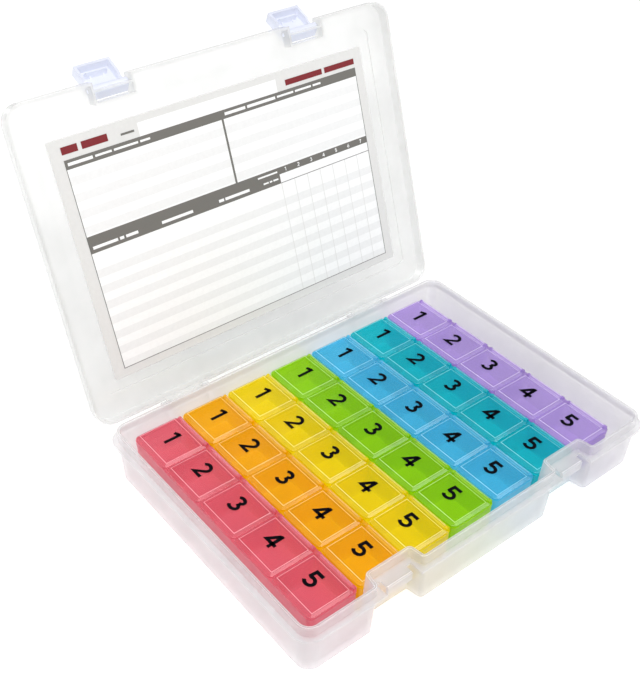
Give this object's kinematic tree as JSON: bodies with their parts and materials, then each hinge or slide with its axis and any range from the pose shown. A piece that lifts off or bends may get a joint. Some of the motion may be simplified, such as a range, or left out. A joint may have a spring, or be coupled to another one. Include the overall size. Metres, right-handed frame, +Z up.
{
  "type": "weekly pill organizer",
  "caption": "Clear latching case with removable trays in rainbow colours, each a row of numbered cells with flip lids; a printed chart lies inside the hinged cover.",
  "frame": {"origin": "centre of the case body's flat underside", "axes": "+X along the case's hinge from the first tray to the last, +Y towards the hinge, +Z up"},
  "size_m": [0.257, 0.2737, 0.206],
  "materials": {
    "case": "clear, slightly frosted moulded plastic",
    "card": "matt printed card",
    "latch": "translucent white moulded plastic",
    "red": "clear tinted moulded plastic",
    "orange": "clear tinted moulded plastic",
    "yellow": "clear tinted moulded plastic",
    "green": "clear tinted moulded plastic",
    "light_blue": "clear tinted moulded plastic",
    "teal": "clear tinted moulded plastic",
    "purple": "clear tinted moulded plastic"
  },
  "bodies": {
    "case_base": {"case_base": "case"},
    "case_lid": {"case_lid": "case", "schedule_card": "card"},
    "latch_left": {"latch_left": "latch"},
    "latch_right": {"latch_right": "latch"},
    "tray_red": {"tray_red": "red"},
    "lid_red_1": {"lid_red_1": "red"},
    "lid_red_2": {"lid_red_2": "red"},
    "lid_red_3": {"lid_red_3": "red"},
    "lid_red_4": {"lid_red_4": "red"},
    "lid_red_5": {"lid_red_5": "red"},
    "tray_orange": {"tray_orange": "orange"},
    "lid_orange_1": {"lid_orange_1": "orange"},
    "lid_orange_2": {"lid_orange_2": "orange"},
    "lid_orange_3": {"lid_orange_3": "orange"},
    "lid_orange_4": {"lid_orange_4": "orange"},
    "lid_orange_5": {"lid_orange_5": "orange"},
    "tray_yellow": {"tray_yellow": "yellow"},
    "lid_yellow_1": {"lid_yellow_1": "yellow"},
    "lid_yellow_2": {"lid_yellow_2": "yellow"},
    "lid_yellow_3": {"lid_yellow_3": "yellow"},
    "lid_yellow_4": {"lid_yellow_4": "yellow"},
    "lid_yellow_5": {"lid_yellow_5": "yellow"},
    "tray_green": {"tray_green": "green"},
    "lid_green_1": {"lid_green_1": "green"},
    "lid_green_2": {"lid_green_2": "green"},
    "lid_green_3": {"lid_green_3": "green"},
    "lid_green_4": {"lid_green_4": "green"},
    "lid_green_5": {"lid_green_5": "green"},
    "tray_light_blue": {"tray_light_blue": "light_blue"},
    "lid_light_blue_1": {"lid_light_blue_1": "light_blue"},
    "lid_light_blue_2": {"lid_light_blue_2": "light_blue"},
    "lid_light_blue_3": {"lid_light_blue_3": "light_blue"},
    "lid_light_blue_4": {"lid_light_blue_4": "light_blue"},
    "lid_light_blue_5": {"lid_light_blue_5": "light_blue"},
    "tray_teal": {"tray_teal": "teal"},
    "lid_teal_1": {"lid_teal_1": "teal"},
    "lid_teal_2": {"lid_teal_2": "teal"},
    "lid_teal_3": {"lid_teal_3": "teal"},
    "lid_teal_4": {"lid_teal_4": "teal"},
    "lid_teal_5": {"lid_teal_5": "teal"},
    "tray_purple": {"tray_purple": "purple"},
    "lid_purple_1": {"lid_purple_1": "purple"},
    "lid_purple_2": {"lid_purple_2": "purple"},
    "lid_purple_3": {"lid_purple_3": "purple"},
    "lid_purple_4": {"lid_purple_4": "purple"},
    "lid_purple_5": {"lid_purple_5": "purple"}
  },
  "joints": [
    {"name": "case_lid_hinge", "type": "hinge", "parent": "case_base", "child": "case_lid", "pos_m": [0, 0.09529, 0.0272], "axis": [-1, 0, 0], "range_deg": [-108.6, 0]},
    {"name": "latch_left_hinge", "type": "hinge", "parent": "case_lid", "child": "latch_left", "pos_m": [-0.065, 0.16104, 0.19845], "axis": [-1, 0, 0], "range_deg": [-139, 0]},
    {"name": "latch_right_hinge", "type": "hinge", "parent": "case_lid", "child": "latch_right", "pos_m": [0.065, 0.16104, 0.19845], "axis": [-1, 0, 0], "range_deg": [-139, 0]},
    {"name": "tray_red_lift", "type": "slide", "parent": "case_base", "child": "tray_red", "axis": [0, 0, 1], "range_m": [0, 0.06]},
    {"name": "lid_red_1_hinge", "type": "hinge", "parent": "tray_red", "child": "lid_red_1", "pos_m": [-0.0836, 0.0707, 0.023], "axis": [0, 1, 0], "range_deg": [0, 100]},
    {"name": "lid_red_2_hinge", "type": "hinge", "parent": "tray_red", "child": "lid_red_2", "pos_m": [-0.0836, 0.0377, 0.023], "axis": [0, 1, 0], "range_deg": [0, 100]},
    {"name": "lid_red_3_hinge", "type": "hinge", "parent": "tray_red", "child": "lid_red_3", "pos_m": [-0.0836, 0.0047, 0.023], "axis": [0, 1, 0], "range_deg": [0, 100]},
    {"name": "lid_red_4_hinge", "type": "hinge", "parent": "tray_red", "child": "lid_red_4", "pos_m": [-0.0836, -0.0283, 0.023], "axis": [0, 1, 0], "range_deg": [0, 100]},
    {"name": "lid_red_5_hinge", "type": "hinge", "parent": "tray_red", "child": "lid_red_5", "pos_m": [-0.0836, -0.0613, 0.023], "axis": [0, 1, 0], "range_deg": [0, 100]},
    {"name": "tray_orange_lift", "type": "slide", "parent": "case_base", "child": "tray_orange", "axis": [0, 0, 1], "range_m": [0, 0.06]},
    {"name": "lid_orange_1_hinge", "type": "hinge", "parent": "tray_orange", "child": "lid_orange_1", "pos_m": [-0.0511, 0.0707, 0.023], "axis": [0, 1, 0], "range_deg": [0, 100]},
    {"name": "lid_orange_2_hinge", "type": "hinge", "parent": "tray_orange", "child": "lid_orange_2", "pos_m": [-0.0511, 0.0377, 0.023], "axis": [0, 1, 0], "range_deg": [0, 100]},
    {"name": "lid_orange_3_hinge", "type": "hinge", "parent": "tray_orange", "child": "lid_orange_3", "pos_m": [-0.0511, 0.0047, 0.023], "axis": [0, 1, 0], "range_deg": [0, 100]},
    {"name": "lid_orange_4_hinge", "type": "hinge", "parent": "tray_orange", "child": "lid_orange_4", "pos_m": [-0.0511, -0.0283, 0.023], "axis": [0, 1, 0], "range_deg": [0, 100]},
    {"name": "lid_orange_5_hinge", "type": "hinge", "parent": "tray_orange", "child": "lid_orange_5", "pos_m": [-0.0511, -0.0613, 0.023], "axis": [0, 1, 0], "range_deg": [0, 100]},
    {"name": "tray_yellow_lift", "type": "slide", "parent": "case_base", "child": "tray_yellow", "axis": [0, 0, 1], "range_m": [0, 0.06]},
    {"name": "lid_yellow_1_hinge", "type": "hinge", "parent": "tray_yellow", "child": "lid_yellow_1", "pos_m": [-0.0186, 0.0707, 0.023], "axis": [0, 1, 0], "range_deg": [0, 100]},
    {"name": "lid_yellow_2_hinge", "type": "hinge", "parent": "tray_yellow", "child": "lid_yellow_2", "pos_m": [-0.0186, 0.0377, 0.023], "axis": [0, 1, 0], "range_deg": [0, 100]},
    {"name": "lid_yellow_3_hinge", "type": "hinge", "parent": "tray_yellow", "child": "lid_yellow_3", "pos_m": [-0.0186, 0.0047, 0.023], "axis": [0, 1, 0], "range_deg": [0, 100]},
    {"name": "lid_yellow_4_hinge", "type": "hinge", "parent": "tray_yellow", "child": "lid_yellow_4", "pos_m": [-0.0186, -0.0283, 0.023], "axis": [0, 1, 0], "range_deg": [0, 100]},
    {"name": "lid_yellow_5_hinge", "type": "hinge", "parent": "tray_yellow", "child": "lid_yellow_5", "pos_m": [-0.0186, -0.0613, 0.023], "axis": [0, 1, 0], "range_deg": [0, 100]},
    {"name": "tray_green_lift", "type": "slide", "parent": "case_base", "child": "tray_green", "axis": [0, 0, 1], "range_m": [0, 0.06]},
    {"name": "lid_green_1_hinge", "type": "hinge", "parent": "tray_green", "child": "lid_green_1", "pos_m": [0.0139, 0.0707, 0.023], "axis": [0, 1, 0], "range_deg": [0, 100]},
    {"name": "lid_green_2_hinge", "type": "hinge", "parent": "tray_green", "child": "lid_green_2", "pos_m": [0.0139, 0.0377, 0.023], "axis": [0, 1, 0], "range_deg": [0, 100]},
    {"name": "lid_green_3_hinge", "type": "hinge", "parent": "tray_green", "child": "lid_green_3", "pos_m": [0.0139, 0.0047, 0.023], "axis": [0, 1, 0], "range_deg": [0, 100]},
    {"name": "lid_green_4_hinge", "type": "hinge", "parent": "tray_green", "child": "lid_green_4", "pos_m": [0.0139, -0.0283, 0.023], "axis": [0, 1, 0], "range_deg": [0, 100]},
    {"name": "lid_green_5_hinge", "type": "hinge", "parent": "tray_green", "child": "lid_green_5", "pos_m": [0.0139, -0.0613, 0.023], "axis": [0, 1, 0], "range_deg": [0, 100]},
    {"name": "tray_light_blue_lift", "type": "slide", "parent": "case_base", "child": "tray_light_blue", "axis": [0, 0, 1], "range_m": [0, 0.06]},
    {"name": "lid_light_blue_1_hinge", "type": "hinge", "parent": "tray_light_blue", "child": "lid_light_blue_1", "pos_m": [0.0464, 0.0707, 0.023], "axis": [0, 1, 0], "range_deg": [0, 100]},
    {"name": "lid_light_blue_2_hinge", "type": "hinge", "parent": "tray_light_blue", "child": "lid_light_blue_2", "pos_m": [0.0464, 0.0377, 0.023], "axis": [0, 1, 0], "range_deg": [0, 100]},
    {"name": "lid_light_blue_3_hinge", "type": "hinge", "parent": "tray_light_blue", "child": "lid_light_blue_3", "pos_m": [0.0464, 0.0047, 0.023], "axis": [0, 1, 0], "range_deg": [0, 100]},
    {"name": "lid_light_blue_4_hinge", "type": "hinge", "parent": "tray_light_blue", "child": "lid_light_blue_4", "pos_m": [0.0464, -0.0283, 0.023], "axis": [0, 1, 0], "range_deg": [0, 100]},
    {"name": "lid_light_blue_5_hinge", "type": "hinge", "parent": "tray_light_blue", "child": "lid_light_blue_5", "pos_m": [0.0464, -0.0613, 0.023], "axis": [0, 1, 0], "range_deg": [0, 100]},
    {"name": "tray_teal_lift", "type": "slide", "parent": "case_base", "child": "tray_teal", "axis": [0, 0, 1], "range_m": [0, 0.06]},
    {"name": "lid_teal_1_hinge", "type": "hinge", "parent": "tray_teal", "child": "lid_teal_1", "pos_m": [0.0789, 0.0707, 0.023], "axis": [0, 1, 0], "range_deg": [0, 100]},
    {"name": "lid_teal_2_hinge", "type": "hinge", "parent": "tray_teal", "child": "lid_teal_2", "pos_m": [0.0789, 0.0377, 0.023], "axis": [0, 1, 0], "range_deg": [0, 100]},
    {"name": "lid_teal_3_hinge", "type": "hinge", "parent": "tray_teal", "child": "lid_teal_3", "pos_m": [0.0789, 0.0047, 0.023], "axis": [0, 1, 0], "range_deg": [0, 100]},
    {"name": "lid_teal_4_hinge", "type": "hinge", "parent": "tray_teal", "child": "lid_teal_4", "pos_m": [0.0789, -0.0283, 0.023], "axis": [0, 1, 0], "range_deg": [0, 100]},
    {"name": "lid_teal_5_hinge", "type": "hinge", "parent": "tray_teal", "child": "lid_teal_5", "pos_m": [0.0789, -0.0613, 0.023], "axis": [0, 1, 0], "range_deg": [0, 100]},
    {"name": "tray_purple_lift", "type": "slide", "parent": "case_base", "child": "tray_purple", "axis": [0, 0, 1], "range_m": [0, 0.06]},
    {"name": "lid_purple_1_hinge", "type": "hinge", "parent": "tray_purple", "child": "lid_purple_1", "pos_m": [0.1114, 0.0707, 0.023], "axis": [0, 1, 0], "range_deg": [0, 100]},
    {"name": "lid_purple_2_hinge", "type": "hinge", "parent": "tray_purple", "child": "lid_purple_2", "pos_m": [0.1114, 0.0377, 0.023], "axis": [0, 1, 0], "range_deg": [0, 100]},
    {"name": "lid_purple_3_hinge", "type": "hinge", "parent": "tray_purple", "child": "lid_purple_3", "pos_m": [0.1114, 0.0047, 0.023], "axis": [0, 1, 0], "range_deg": [0, 100]},
    {"name": "lid_purple_4_hinge", "type": "hinge", "parent": "tray_purple", "child": "lid_purple_4", "pos_m": [0.1114, -0.0283, 0.023], "axis": [0, 1, 0], "range_deg": [0, 100]},
    {"name": "lid_purple_5_hinge", "type": "hinge", "parent": "tray_purple", "child": "lid_purple_5", "pos_m": [0.1114, -0.0613, 0.023], "axis": [0, 1, 0], "range_deg": [0, 100]}
  ]
}
